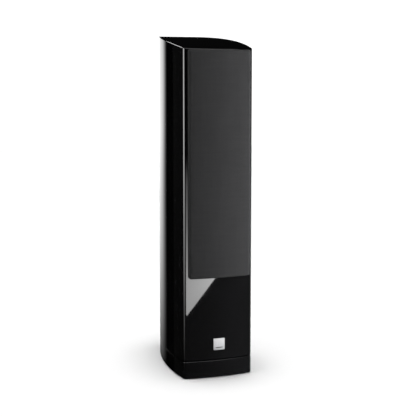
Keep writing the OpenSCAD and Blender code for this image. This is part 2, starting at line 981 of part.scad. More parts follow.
module post_cap(side, tint) {
    placed() color(tint) translate([side * post_pitch / 2, 0, 0]) facing_rear(0, terminal_z) difference() {
        tube(cap_r, stud_r + run_gap, cap_y, cap_y + cap_len);
        ring_of(grip_count, grip_circle) translate([0, 0, cap_y + grip_start]) cylinder(r = grip_r, h = cap_len);
    }
}

module post_collar_positive() {
    post_collar(1);
}

module post_collar_negative() {
    post_collar(-1);
}

module post_cap_positive() {
    post_cap(1, "#8d1f1c");
}

module post_cap_negative() {
    post_cap(-1, "#1b1b1d");
}

// ---- Crossover, leads and damping ----

module crossover_board() {
    placed() color("#9b6b3a") translate([0, cab_depth / 2, floor_z]) linear_extrude(height = board_t)
        rounded_rect(board_w, board_l, board_corner_r);
}

// Air-cored coil standing on the board: outer radius, inner radius, height
module coil_at(spot, size) {
    translate([spot[0], spot[1], 0]) tube(size[0], size[1], parts_z, parts_z + size[2]);
}

module crossover_inductors() {
    placed() color("#b5652b") {
        for (spot = inductor_large_spots) coil_at(spot, inductor_large);
        coil_at(inductor_small_spot, inductor_small);
    }
}

module crossover_capacitors() {
    placed() color("#27466e") for (i = [0 : 2])
        translate([capacitor_x, capacitor_y + capacitor_pitch * i, parts_z + capacitor_r]) rotate([0, 90, 0])
            cylinder(r = capacitor_r - i, h = capacitor_len, center = true);
}

module crossover_resistors() {
    placed() color("#d8d4c8") for (i = [0 : 2])
        translate([resistor_spot[0], resistor_spot[1] + resistor_pitch * i, parts_z]) cube(resistor_size);
}

// Eight-sided tube along a route
module swept_tube(points, r) {
    sides = 8;
    last = len(points) - 1;
    function along(i) = let (v = points[min(i + 1, last)] - points[max(i - 1, 0)]) v / norm(v);
    function across(i) = let (v = cross(along(i), [1, 0.1, 0.05])) v / norm(v);
    rings = [for (i = [0 : last], k = [0 : sides - 1])
        let (u = across(i), w = cross(along(i), u), a = 360 * k / sides)
        points[i] + r * (cos(a) * u + sin(a) * w)];
    walls = [for (i = [0 : last - 1], k = [0 : sides - 1])
        let (a = i * sides + k, b = i * sides + (k + 1) % sides)
        [a, a + sides, b + sides, b]];
    near_end = [for (k = [0 : sides - 1]) k];
    far_end = [for (k = [sides - 1 : -1 : 0]) last * sides + k];
    polyhedron(points = rings, faces = concat([near_end], walls, [far_end]));
}

module internal_wiring() {
    placed() color("#b03a2e") for (route = lead_routes) swept_tube(route, lead_r);
}

// Damping sheets on the inside of both walls, one in each bay between the braces
module damping_sheets() {
    placed() color("#2a2a2a") for (bay = damping_bays) translate([0, 0, bay[0]])
        linear_extrude(height = bay[1] - bay[0]) intersection() {
            difference() {
                plan(wall_t);
                plan(wall_t + damping_t);
            }
            band(damping_depths[0], damping_depths[1]);
        }
}

side_panel_left();
side_panel_right();
front_baffle();
rear_panel();
top_panel();
bottom_panel();
brace_upper();
brace_middle();
brace_lower();
plinth();
plinth_spacer();
plinth_screws();
spike_inserts();
floor_pads();
grille_frame();
grille_cloth();
grille_pegs();
grille_sockets();
badge_plate();
woofer_upper_basket();
woofer_upper_cone();
woofer_upper_dust_cap();
woofer_upper_surround();
woofer_upper_spider();
woofer_upper_voice_coil();
woofer_lower_basket();
woofer_lower_cone();
woofer_lower_dust_cap();
woofer_lower_surround();
woofer_lower_spider();
woofer_lower_voice_coil();
woofer_magnets();
woofer_top_plates();
woofer_yokes();
woofer_gaskets();
woofer_screws();
tweeter_faceplate();
tweeter_dome();
tweeter_surround();
tweeter_voice_coil();
tweeter_magnet();
tweeter_pole_pieces();
tweeter_screws();
port_tube_upper();
port_tube_lower();
terminal_plate();
terminal_screws();
binding_post_studs();
binding_post_bases();
post_collar_positive();
post_collar_negative();
post_cap_positive();
post_cap_negative();
crossover_board();
crossover_inductors();
crossover_capacitors();
crossover_resistors();
internal_wiring();
damping_sheets();
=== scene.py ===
"""Looks of the floorstanding loudspeaker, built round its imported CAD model. Lengths in metres."""

import json
import math

import bmesh
import bpy
import numpy as np
from mathutils import Matrix, Vector

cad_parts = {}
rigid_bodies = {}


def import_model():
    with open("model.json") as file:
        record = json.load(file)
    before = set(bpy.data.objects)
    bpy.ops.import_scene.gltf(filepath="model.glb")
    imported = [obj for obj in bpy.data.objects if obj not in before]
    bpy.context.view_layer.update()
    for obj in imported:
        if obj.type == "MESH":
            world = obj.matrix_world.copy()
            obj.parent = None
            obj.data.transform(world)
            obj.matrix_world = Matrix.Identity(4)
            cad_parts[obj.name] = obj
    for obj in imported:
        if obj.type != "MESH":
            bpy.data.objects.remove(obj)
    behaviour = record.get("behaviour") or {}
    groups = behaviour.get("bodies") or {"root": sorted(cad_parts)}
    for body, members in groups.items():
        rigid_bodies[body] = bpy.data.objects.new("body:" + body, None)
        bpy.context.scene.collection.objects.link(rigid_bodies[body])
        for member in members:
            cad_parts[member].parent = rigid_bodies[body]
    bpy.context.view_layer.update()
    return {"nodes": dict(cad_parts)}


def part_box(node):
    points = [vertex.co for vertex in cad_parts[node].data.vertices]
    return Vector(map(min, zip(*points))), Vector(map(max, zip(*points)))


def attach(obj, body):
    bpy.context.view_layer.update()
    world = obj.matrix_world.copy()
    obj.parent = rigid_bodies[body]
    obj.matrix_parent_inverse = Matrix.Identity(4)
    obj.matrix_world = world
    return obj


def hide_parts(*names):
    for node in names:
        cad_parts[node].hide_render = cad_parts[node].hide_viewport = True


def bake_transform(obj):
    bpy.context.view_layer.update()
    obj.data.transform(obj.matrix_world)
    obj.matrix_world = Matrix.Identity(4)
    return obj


for extra in list(bpy.data.objects):
    bpy.data.objects.remove(extra)
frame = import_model()
nodes = frame["nodes"]

# ---- Sizes that part.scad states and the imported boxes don't ----

DEPTH, FRONT_W, BOW = 0.400, 0.214, 0.009
SIDE_R, SIDE_PEAK, EDGE_R, REAR_R = 0.708, 0.114, 0.008, 0.003
TOP_R, TOP_PEAK, FRONT_H, CAP_T = 2.323, 0.475, 0.980, 0.022
WALL_T, BAFFLE_T, INNER_BACK = 0.018, 0.024, 0.378
CAB_Z, PLINTH_LOW, PLINTH_TOP = 0.056, 0.002, 0.053
WOOFER_R, WOOFER_CUTOUT, TWEETER_R = 0.089, 0.075, 0.052
PORT_R, TERMINAL_W, TERMINAL_H = 0.030, 0.084, 0.112
WOOFER_SEAT, TWEETER_SEAT, TWEETER_CUTOUT = 0.0058, 0.004, 0.037
PORT_LIP, PORT_WALL, PORT_SEAT = 0.014, 0.004, 0.003
TERMINAL_CORNER, TERMINAL_SEAT, TERMINAL_WINDOW = 0.008, 0.003, (0.062, 0.088, 0.006)
SOCKET_R, SOCKET_DEPTH, SOCKET_MOUTH, PEG_R, PEG_MIDDLE = 0.00605, 0.009, 0.011, 0.0035, 0.588
INSERTS, INSERT_DEPTH = ((0.070, 0.072), (0.040, 0.338)), 0.020
PLINTH_SCREWS, RECESS_R, RECESS_DEPTH = ((0.056, 0.118), (0.040, 0.295)), 0.0055, 0.022
BADGE_T, BADGE_CORNER, BADGE_EDGE, POCKET_CORNER = 0.002, 0.0015, 0.0005, 0.0016
LINE_W, LINE_H, LINE_DEPTH, LINE_DROP = 0.022, 0.0024, 0.0004, 0.010
SPIDER_DEPTH, TWEETER_SET_BACK = 0.046, 0.004

# Roundings of the lacquered edges, and the play round a part let into a panel
LOW_R, PLINTH_R, TOP_EDGE_R, SEAT_GAP = 0.0012, 0.0015, 0.0025, 0.0002

CHORD_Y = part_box("rear_panel")[1].y - DEPTH
SIDE_CX = math.sqrt(SIDE_R**2 - SIDE_PEAK**2) - FRONT_W / 2
FRONT_R = (BOW**2 + FRONT_W**2 / 4) / (2 * BOW)
FRONT_CY = FRONT_R - BOW
TOP_CZ = FRONT_H - math.sqrt(TOP_R**2 - TOP_PEAK**2)
# Smallest length or angle that counts, and the radius of the core that a turned cutter leaves open
TINY, CORE_R = 1e-7, 0.0001
# How far a point may lie off the true wall or top and still take its normal
WALL_SLACK, TOP_SLACK = 4e-5, 2e-5


def middle(node):
    """Centre of a node's packed box."""
    low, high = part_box(node)
    return (low + high) / 2


def smooth(low, high, value):
    """0 at low and 1 at high, easing in and out; low may be the larger."""
    t = min(1, max(0, (value - low) / (high - low)))
    return t * t * (3 - 2 * t)


def quarter(radius, degrees):
    """Quarter round as (inset, drop) pairs: how far it lies inside the side and below the top."""
    turns = [math.radians(a) for a in degrees]
    return [(radius * (1 - math.cos(a)), radius * (1 - math.sin(a))) for a in turns]


# ---- Camera ----

camera = bpy.data.objects.new("camera", bpy.data.cameras.new("camera"))
bpy.context.scene.collection.objects.link(camera)
camera.data.lens, camera.data.sensor_width, camera.data.shift_y = 83.6, 36.0, -0.05
camera.location = (-0.9724, CHORD_Y - 2.6593, 0.8984)
turn, tilt = math.radians(19.48), math.radians(6.54)
aim = Vector((math.sin(turn) * math.cos(tilt), math.cos(turn) * math.cos(tilt), -math.sin(tilt)))
camera.rotation_euler = aim.to_track_quat("-Z", "Y").to_euler()
bpy.context.scene.camera = camera
bpy.context.scene.view_settings.view_transform = "Standard"
bpy.context.scene.view_settings.look = "None"

# ---- Mesh helpers ----


def link(name, verts, faces):
    """Mesh object from points and faces, put into the scene."""
    mesh = bpy.data.meshes.new(name)
    mesh.from_pydata([tuple(map(float, v)) for v in verts], [], faces)
    mesh.validate()
    piece = bpy.data.objects.new(name, mesh)
    bpy.context.scene.collection.objects.link(piece)
    return piece


def tidy_normals(piece):
    """Merges doubled points and turns all faces outwards."""
    bm = bmesh.new()
    bm.from_mesh(piece.data)
    bmesh.ops.remove_doubles(bm, verts=bm.verts, dist=TINY)
    bmesh.ops.recalc_face_normals(bm, faces=bm.faces)
    bm.to_mesh(piece.data)
    bm.free()
    return piece


def loft(name, rings, caps=(True, True)):
    """Closed rings of points, one above the other, joined by quads and closed with caps."""
    count = len(rings[0])
    verts = [p for ring in rings for p in ring]
    faces = []
    for i in range(len(rings) - 1):
        a, b = i * count, (i + 1) * count
        faces += [(a + k, a + (k + 1) % count, b + (k + 1) % count, b + k) for k in range(count)]
    if caps[0]:
        faces.append(tuple(range(count - 1, -1, -1)))
    if caps[1]:
        faces.append(tuple(range(len(verts) - count, len(verts))))
    return tidy_normals(link(name, verts, faces))


def lathe(name, profile, place, steps=96):
    """Closed profile of (radius, height) pairs turned round local z. place maps local to the frame."""
    verts, faces = [], []
    turns = [2 * math.pi * k / steps for k in range(steps)]
    for r, h in profile:
        verts += [(r * math.cos(a), r * math.sin(a), h) for a in turns]
    rows = len(profile)
    for i in range(rows):
        a, b = i * steps, (i + 1) % rows * steps
        faces += [(a + k, a + (k + 1) % steps, b + (k + 1) % steps, b + k) for k in range(steps)]
    piece = link(name, verts, faces)
    piece.data.transform(place)
    return tidy_normals(piece)


def drill(levels, place, steps=96):
    """Stepped round cutter. levels are the (radius, height) corners of its outside, in order."""
    return lathe("drill", [(CORE_R, levels[0][1]), *levels, (CORE_R, levels[-1][1])], place, steps)


def stepped(flange_r, seat, cutout, proud, deep):
    """Levels of a hole through a panel with a seat for a flange."""
    mouth = flange_r + SEAT_GAP
    return [(mouth, proud), (mouth, -seat), (cutout, -seat), (cutout, -deep)]


def facing_front(x, s, z):
    """Local +z points out of the front (-Y), local y up."""
    return Matrix.Translation((x, CHORD_Y + s, z)) @ Matrix.Rotation(math.radians(90), 4, "X")


def facing_rear(x, s, z):
    """Local +z points out of the rear (+Y), local y down."""
    return Matrix.Translation((x, CHORD_Y + s, z)) @ Matrix.Rotation(math.radians(-90), 4, "X")


def join_meshes(name, parts):
    """One object that takes the place of its parts."""
    bm = bmesh.new()
    for p in parts:
        bm.from_mesh(p.data)
    mesh = bpy.data.meshes.new(name)
    bm.to_mesh(mesh)
    bm.free()
    for p in parts:
        bpy.data.objects.remove(p)
    piece = bpy.data.objects.new(name, mesh)
    bpy.context.scene.collection.objects.link(piece)
    return piece


def cut(piece, cutters):
    """Cuts the cutters' shapes out of the piece, then removes the cutters."""
    tool = join_meshes("cutter", cutters)
    m = piece.modifiers.new("cut", "BOOLEAN")
    m.operation, m.object, m.solver, m.use_self = "DIFFERENCE", tool, "EXACT", True
    bake(piece)
    bpy.data.objects.remove(tool)


def bake(piece):
    """Applies the piece's modifiers."""
    bpy.context.view_layer.update()
    made = bpy.data.meshes.new_from_object(piece.evaluated_get(bpy.context.evaluated_depsgraph_get()))
    piece.modifiers.clear()
    piece.data = made


def shade(piece, normal_at=None, angle=35):
    """Smooth shading broken at sharp edges. normal_at(point, face normal) is the true normal, where known."""
    mesh = piece.data
    mesh.polygons.foreach_set("use_smooth", [True] * len(mesh.polygons))
    mesh.set_sharp_from_angle(angle=math.radians(angle))
    if normal_at:
        corner = [n.vector.copy() for n in mesh.corner_normals]
        for face in mesh.polygons:
            for loop in face.loop_indices:
                true = normal_at(mesh.vertices[mesh.loops[loop].vertex_index].co, face.normal)
                if true is not None:
                    corner[loop] = true
        mesh.normals_split_custom_set(corner)
    return piece


# ---- Cabinet outline, seen from above: x, and s behind the chord of the front corners ----


def meeting(c1, r1, c2, r2):
    """Where two circles cross, on the right of the way from c1 to c2."""
    d = (c2 - c1).length
    e = (c2 - c1) / d
    a = (r1 * r1 - r2 * r2 + d * d) / (2 * d)
    return c1 + a * e + math.sqrt(r1 * r1 - a * a) * Vector((e.y, -e.x))


SIDE_C, FRONT_C = Vector((-SIDE_CX, SIDE_PEAK)), Vector((0, FRONT_CY))
CORNER_C = meeting(SIDE_C, SIDE_R - EDGE_R, FRONT_C, FRONT_R - EDGE_R)
REAR_REACH = math.sqrt((SIDE_R - REAR_R) ** 2 - (DEPTH - REAR_R - SIDE_PEAK) ** 2)
REAR_C = Vector((REAR_REACH - SIDE_CX, DEPTH - REAR_R))
SIDE_STEPS = 60


def half_outline(inset):
    """Right half from the middle of the rear to the middle of the front: (x, s), outward normal, tag."""
    out = []

    def arc(centre, radius, a0, a1, steps, tag):
        for i in range(1, steps + 1):
            a = a0 + (a1 - a0) * i / steps
            n = Vector((math.cos(a), math.sin(a)))
            out.append((centre + radius * n, n, tag))

    for i in range(9):
        out.append((Vector((REAR_C.x * i / 8, DEPTH - inset)), Vector((0, 1)), "rear"))
    to_rear, to_corner = REAR_C - SIDE_C, CORNER_C - SIDE_C
    arc(REAR_C, REAR_R - inset, math.pi / 2, math.atan2(to_rear.y, to_rear.x), 6, "rear")
    radius = SIDE_R - inset
    s_rear = SIDE_PEAK + radius * to_rear.y / to_rear.length
    s_corner = SIDE_PEAK + radius * to_corner.y / to_corner.length
    for s0, s1, steps, tag in (
        (s_rear, INNER_BACK, 3, "rear"),
        (INNER_BACK, BAFFLE_T, SIDE_STEPS, "side"),
        (BAFFLE_T, s_corner, 5, "front"),
    ):
        for i in range(1 if tag == "rear" else 0, steps + 1):
            s = s0 + (s1 - s0) * i / steps
            n = Vector((math.sqrt(radius**2 - (s - SIDE_PEAK) ** 2), s - SIDE_PEAK)) / radius
            out.append((SIDE_C + radius * n, n, tag))
    to_front = CORNER_C - FRONT_C
    a0, a1 = math.atan2(to_corner.y, to_corner.x), math.atan2(to_front.y, to_front.x)
    arc(CORNER_C, EDGE_R - inset, a0, a1, 14, "front")
    arc(FRONT_C, FRONT_R - inset, a1, -math.pi / 2, 24, "front")
    return out


def whole(half):
    """The half outline and its mirror image as one loop."""
    left = [(Vector((-p.x, p.y)), Vector((-n.x, n.y)), tag) for p, n, tag in reversed(half[1:-1])]
    loop = half + left
    kept = [loop[0]]
    for entry in loop[1:]:
        if (entry[0] - kept[-1][0]).length > TINY:
            kept.append(entry)
    return kept


def wall_normal(z_low, low_r, z_high=None, high_r=0.0):
    """Outward normal of the lacquered outline at a point, with its lower and upper edges rounded."""

    def at(co, face):
        x, s = abs(co.x), co.y - CHORD_Y
        p = Vector((x, s))
        to_corner, to_front, to_rear = CORNER_C - SIDE_C, CORNER_C - FRONT_C, REAR_C - SIDE_C
        a = math.atan2(s - SIDE_PEAK, x + SIDE_CX)
        if a < math.atan2(to_corner.y, to_corner.x) + TINY:
            b = math.atan2(s - FRONT_CY, x)
            if b > math.atan2(to_front.y, to_front.x):
                q, inset = p - CORNER_C, EDGE_R
            else:
                q, inset = p - FRONT_C, FRONT_R
        elif a > math.atan2(to_rear.y, to_rear.x):
            if x > REAR_C.x:
                q, inset = p - REAR_C, REAR_R
            else:
                q, inset = Vector((0, s - REAR_C.y)), REAR_R
        else:
            q, inset = p - SIDE_C, SIDE_R
        inset -= q.length
        n = q.normalized()
        down = min(1, max(0, (z_low + low_r - co.z) / low_r))
        up = min(1, max(0, (co.z - z_high + high_r) / high_r)) if z_high else 0
        lean = up if up else -down
        flat = math.sqrt(1 - lean * lean)
        edge = high_r if up else low_r
        if abs(inset - edge * (1 - flat)) > WALL_SLACK:
            return None
        true = Vector((n.x * flat * (1 if co.x >= 0 else -1), n.y * flat, lean)).normalized()
        return true if true.dot(face) > 0.8 else None

    return at


def arch(s, drop=0.0):
    """Height of the arched top at s, or of the arch that lies drop inside it."""
    return TOP_CZ + math.sqrt((TOP_R - drop) ** 2 - (s - TOP_PEAK) ** 2)


def row(p, z):
    """Outline point (x, s) at height z, in the frame."""
    return (p.x, CHORD_Y + p.y, z)


FILLET = (90, 67.5, 45, 22.5, 0)


def wall(name, loop_at, inner=()):
    """Wall from the cabinet's underside to the arched top panel. loop_at(inset) gives its outer points."""
    rings = []
    for inset, drop in quarter(LOW_R, FILLET):
        rings.append([row(p, CAB_Z + drop) for p in loop_at(inset)] + [row(p, CAB_Z) for p in inner])
    for z in (0.35, 0.65):
        rings.append([row(p, z) for p in loop_at(0)] + [row(p, z) for p in inner])
    rings.append([row(p, arch(p.y, CAP_T)) for p in [*loop_at(0), *inner]])
    return loft(name, rings)


def tagged(inset, tag):
    """The points of the half outline that have this tag."""
    return [p for p, n, t in half_outline(inset) if t == tag]


def mirrored(points):
    return [Vector((-p.x, p.y)) for p in reversed(points)]


def both_sides(inset, tag):
    """The front or rear stretch of the outline, right half and left half."""
    right = tagged(inset, tag)
    if tag == "front":
        return right + mirrored(right[:-1])
    return mirrored(right[1:]) + right


def side_inner():
    """Inner face of the right side panel, from the baffle to the rear."""
    radius = SIDE_R - WALL_T
    out = []
    for i in range(SIDE_STEPS + 1):
        s = BAFFLE_T + (INNER_BACK - BAFFLE_T) * i / SIDE_STEPS
        out.append(Vector((-SIDE_CX + math.sqrt(radius**2 - (s - SIDE_PEAK) ** 2), s)))
    return out


# ---- Materials ----


class Net:
    """Small helper for one node material."""

    def __init__(self, name, **values):
        self.mat = bpy.data.materials.new(name)
        self.mat.use_nodes = True
        self.tree = self.mat.node_tree
        self.shader = self.tree.nodes["Principled BSDF"]
        for key, value in values.items():
            self.shader.inputs[key.replace("_", " ")].default_value = value
        self.place = self.tree.nodes.new("ShaderNodeTexCoord").outputs["Object"]

    def add(self, kind, inputs=None, **attrs):
        n = self.tree.nodes.new("ShaderNode" + kind)
        for k, v in attrs.items():
            setattr(n, k, v)
        for k, v in (inputs or {}).items():
            if isinstance(v, bpy.types.NodeSocket):
                self.tree.links.new(v, n.inputs[k])
            else:
                n.inputs[k].default_value = v
        return n

    def math(self, op, a, b=0.0, c=0.0):
        n = self.add("Math", {0: a, 1: b, 2: c}, operation=op)
        return n.outputs[0]

    def noise(self, scale, detail=2.0, rough=0.5, stretch=(1, 1, 1)):
        v = self.add("Mapping", {"Vector": self.place, "Scale": stretch})
        inputs = {"Vector": v.outputs[0], "Scale": scale, "Detail": detail, "Roughness": rough}
        return self.add("TexNoise", inputs).outputs["Fac"]

    def between(self, fac, low, high):
        """fac 0..1 mapped to low..high."""
        return self.add("MapRange", {"Value": fac, "To Min": low, "To Max": high}).outputs[0]

    def colour(self, fac, dark, light):
        ramp = self.add("ValToRGB", {"Fac": fac})
        ramp.color_ramp.elements[0].color = (*dark, 1)
        ramp.color_ramp.elements[1].color = (*light, 1)
        ramp.color_ramp.elements[0].position, ramp.color_ramp.elements[1].position = 0.25, 0.75
        self.tree.links.new(ramp.outputs[0], self.shader.inputs["Base Color"])

    def rough(self, value):
        self.tree.links.new(value, self.shader.inputs["Roughness"])

    def bump(self, height, strength, distance):
        b = self.add("Bump", {"Height": height, "Strength": strength, "Distance": distance})
        self.tree.links.new(b.outputs[0], self.shader.inputs["Normal"])


def simple(name, dark, light, rough, scale=300.0, metallic=0.0, bump=0.2, depth=0.0001):
    """Surface with fine mottling in colour, roughness and relief, at the given scale."""
    net = Net(name, Metallic=metallic)
    fine = net.noise(scale, 4.0, 0.6)
    broad = net.noise(scale / 12, 2.0, 0.5)
    mottle = net.math("ADD", net.math("MULTIPLY", fine, 0.5), net.math("MULTIPLY", broad, 0.5))
    net.colour(mottle, dark, light)
    net.rough(net.between(broad, rough[0], rough[1]))
    net.bump(fine, bump, depth)
    return net.mat


def lacquer():
    """Piano lacquer with faint haze and orange peel."""
    net = Net("black_lacquer", IOR=1.5)
    haze = net.noise(14.0, 3.0, 0.55)
    net.colour(haze, (0.0009, 0.0009, 0.0010), (0.0014, 0.0014, 0.0016))
    net.rough(net.between(net.noise(40.0, 3.0), 0.02, 0.045))
    peel = net.noise(110.0, 1.0, 0.4)
    net.bump(peel, 0.06, 0.00002)
    return net.mat


def cloth():
    """Woven grille cloth with uneven threads."""
    net = Net("grille_cloth", Specular_IOR_Level=0.1)
    split = net.add("SeparateXYZ", {"Vector": net.place})
    low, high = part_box("grille_cloth")
    x, y, z = split.outputs
    across = net.math("ADD", net.math("ABSOLUTE", x), y)
    along = net.math("ADD", net.math("ABSOLUTE", net.math("SUBTRACT", z, (low.z + high.z) / 2)), y)
    thread_pitch = 0.0011
    wobble = net.math("MULTIPLY", net.noise(25.0, 2.0), 2.0)
    warp = net.math("SINE", net.math("MULTIPLY_ADD", across, 2 * math.pi / thread_pitch, wobble))
    weft = net.math("SINE", net.math("MULTIPLY_ADD", along, 2 * math.pi / thread_pitch, wobble))
    weave = net.math("MULTIPLY_ADD", net.math("MULTIPLY", warp, weft), 0.5, 0.5)
    slub_h = net.noise(320.0, 3.0, 0.6, (0.05, 0.05, 1))
    slub_v = net.noise(320.0, 3.0, 0.6, (1, 1, 0.03))
    slubs = net.math("ADD", net.math("MULTIPLY", slub_h, 0.4), net.math("MULTIPLY", slub_v, 0.25))
    tone = net.math("ADD", net.math("MULTIPLY", weave, 0.35), slubs)
    net.colour(tone, (0.0075, 0.0075, 0.0078), (0.018, 0.018, 0.0184))
    net.rough(net.between(slub_h, 0.8, 0.95))
    net.bump(net.math("ADD", weave, net.math("MULTIPLY", slub_h, 0.3)), 0.5, 0.00025)
    return net.mat


def badge_metal():
    """Satin plate; its engraved line is filled with dark lacquer."""
    net = Net("badge_metal", Metallic=0.75)
    low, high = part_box("badge_plate")
    x, y, z = net.add("SeparateXYZ", {"Vector": net.place}).outputs
    hair = net.noise(900.0, 4.0, 0.7, (1, 1, 0.03))
    net.colour(hair, (0.52, 0.52, 0.53), (0.64, 0.64, 0.65))
    drop = net.math("SUBTRACT", z, (low.z + high.z) / 2 - LINE_DROP)
    in_line = net.math("MULTIPLY", net.math("LESS_THAN", net.math("ABSOLUTE", drop), LINE_H * 0.52),
                       net.math("LESS_THAN", net.math("ABSOLUTE", x), LINE_W * 0.51))
    metal = net.shader.inputs["Base Color"].links[0].from_socket
    fill = net.add("Mix", {"Factor": in_line}, data_type="RGBA")
    net.tree.links.new(metal, fill.inputs[6])
    fill.inputs[7].default_value = (0.03, 0.03, 0.032, 1)
    net.tree.links.new(fill.outputs[2], net.shader.inputs["Base Color"])
    net.rough(net.between(hair, 0.30, 0.40))
    net.bump(hair, 0.15, 0.00004)
    return net.mat


def brushed(name, dark, light, rough, stretch):
    """Metal with fine hairlines along the direction that stretch shortens."""
    net = Net(name, Metallic=1.0)
    hair = net.noise(900.0, 4.0, 0.7, stretch)
    net.colour(hair, dark, light)
    net.rough(net.between(hair, *rough))
    net.bump(hair, 0.15, 0.00004)
    return net.mat


LOOKS = {mat.name.split(".")[0]: mat for mat in (
    lacquer(),
    cloth(),
    simple("raw_board", (0.28, 0.17, 0.09), (0.42, 0.28, 0.16), (0.7, 0.9), 500.0, bump=0.5),
    simple("black_plastic", (0.010, 0.010, 0.011), (0.020, 0.020, 0.021), (0.38, 0.5), 1400.0,
           bump=0.5, depth=0.00008),
    simple("black_rubber", (0.008, 0.008, 0.008), (0.015, 0.015, 0.015), (0.55, 0.7), 700.0, bump=0.25),
    badge_metal(),
    simple("driver_casting", (0.020, 0.021, 0.022), (0.045, 0.046, 0.048), (0.42, 0.6), 900.0,
           metallic=0.3, bump=0.5, depth=0.00015),
    brushed("plated_steel", (0.42, 0.42, 0.43), (0.62, 0.62, 0.63), (0.22, 0.38), (1, 0.2, 1)),
    simple("black_screw", (0.02, 0.02, 0.021), (0.05, 0.05, 0.052), (0.3, 0.45), 1200.0,
           metallic=0.8, bump=0.3),
    simple("ferrite", (0.03, 0.03, 0.032), (0.075, 0.075, 0.078), (0.6, 0.8), 800.0, bump=0.6, depth=0.0002),
    simple("cone_pulp", (0.010, 0.0095, 0.009), (0.040, 0.032, 0.027), (0.6, 0.8), 420.0,
           bump=0.7, depth=0.0003),
    simple("spider_cloth", (0.45, 0.30, 0.10), (0.62, 0.44, 0.18), (0.75, 0.9), 1500.0,
           bump=0.7, depth=0.0002),
    brushed("copper_wire", (0.55, 0.20, 0.08), (0.80, 0.36, 0.16), (0.25, 0.4), (1, 14, 1)),
    simple("dome_silk", (0.012, 0.013, 0.015), (0.030, 0.032, 0.036), (0.45, 0.6), 2500.0,
           bump=0.5, depth=0.00006),
    brushed("gold_plate", (0.72, 0.48, 0.16), (0.92, 0.66, 0.28), (0.16, 0.3), (1, 6, 1)),
    simple("red_plastic", (0.22, 0.008, 0.008), (0.34, 0.014, 0.012), (0.2, 0.32), 900.0, bump=0.15),
    simple("terminal_black", (0.008, 0.008, 0.009), (0.016, 0.016, 0.017), (0.3, 0.45), 1000.0, bump=0.4),
    simple("film_blue", (0.02, 0.06, 0.16), (0.03, 0.09, 0.22), (0.25, 0.4), 300.0),
    simple("resistor_cement", (0.55, 0.53, 0.47), (0.72, 0.70, 0.64), (0.75, 0.9), 700.0, bump=0.6),
    simple("wire_jacket", (0.35, 0.02, 0.015), (0.50, 0.04, 0.03), (0.35, 0.5), 600.0),
    simple("bitumen", (0.010, 0.010, 0.010), (0.030, 0.029, 0.028), (0.6, 0.85), 260.0,
           bump=0.7, depth=0.0004),
)}
for node in nodes.values():
    for slot in node.material_slots:
        slot.material = LOOKS[slot.material.name.split(".")[0]]


def finish_piece(piece, body, slot, *stands_for):
    """Material and body of a piece, and the CAD nodes whose place it takes."""
    piece.data.materials.clear()
    piece.data.materials.append(LOOKS[slot])
    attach(piece, body)
    if stands_for:
        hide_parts(*stands_for)


# ---- Lacquered cabinet ----

cabinet_normal = wall_normal(CAB_Z, LOW_R)

right_side = wall("lacquer_side_right", lambda inset: tagged(inset, "side"), side_inner())
left_side = wall("lacquer_side_left", lambda inset: mirrored(tagged(inset, "side")), mirrored(side_inner()))
for piece, stands_for in ((right_side, "side_panel_right"), (left_side, "side_panel_left")):
    finish_piece(shade(piece, cabinet_normal), "cabinet", "black_lacquer", stands_for)

WOOFER_Y = FRONT_CY - math.sqrt(FRONT_R**2 - WOOFER_R**2) + SEAT_GAP
TWEETER_Y = FRONT_CY - math.sqrt(FRONT_R**2 - TWEETER_R**2) + SEAT_GAP
WOOFER_Z = [middle("woofer_upper_cone").z, middle("woofer_lower_cone").z]
TWEETER_Z = middle("tweeter_dome").z
PORT_Z = [middle("port_tube_upper").z, middle("port_tube_lower").z]
BADGE = middle("badge_plate")
TERMINAL_Z = middle("terminal_plate").z


def rounded(w, h, r, inset=0.0, corner=6):
    """Rounded rectangle as (u, v, outward normal) points, offset inwards by inset."""
    out = []
    for cu, cv, first in ((1, 1, 0), (-1, 1, 90), (-1, -1, 180), (1, -1, 270)):
        for i in range(corner + 1):
            a = math.radians(first + 90 * i / corner)
            n = Vector((math.cos(a), math.sin(a)))
            out.append((Vector((cu * (w / 2 - r), cv * (h / 2 - r))) + (r - inset) * n, n))
    return out


def prism(name, outline, h0, h1, place):
    """Outline from rounded() drawn out from h0 to h1."""
    piece = loft(name, [[(p.x, p.y, h) for p, n in outline] for h in (h0, h1)])
    piece.data.transform(place)
    return piece


baffle = wall("lacquer_front", lambda inset: both_sides(inset, "front"))
woofer_hole = stepped(WOOFER_R, WOOFER_SEAT, WOOFER_CUTOUT, proud=0.03, deep=0.06)
tweeter_hole = stepped(TWEETER_R, TWEETER_SEAT, TWEETER_CUTOUT, proud=0.03, deep=0.06)
cutters = [drill(woofer_hole, facing_front(0, WOOFER_Y, z), 128) for z in WOOFER_Z]
cutters.append(drill(tweeter_hole, facing_front(0, TWEETER_Y, TWEETER_Z)))
peg_low, peg_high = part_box("grille_pegs")
PEG_X = peg_high.x - PEG_R
peg_hole = [(SOCKET_R, SOCKET_MOUTH), (SOCKET_R, -SOCKET_DEPTH)]
for x in (-PEG_X, PEG_X):
    for z in (peg_low.z + PEG_R, PEG_MIDDLE, peg_high.z - PEG_R):
        cutters.append(drill(peg_hole, facing_front(x, 0, z), 48))
badge_low, badge_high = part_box("badge_plate")
BADGE_W = badge_high.x - badge_low.x
BADGE_S = badge_high.y - CHORD_Y
at_badge = facing_front(0, BADGE_S, BADGE.z)
pocket = rounded(BADGE_W + 2 * SEAT_GAP, BADGE_W + 2 * SEAT_GAP, POCKET_CORNER)
cutters.append(prism("pocket", pocket, 0, 0.02, at_badge))
cut(baffle, cutters)
finish_piece(shade(baffle, cabinet_normal), "cabinet", "black_lacquer", "front_baffle")

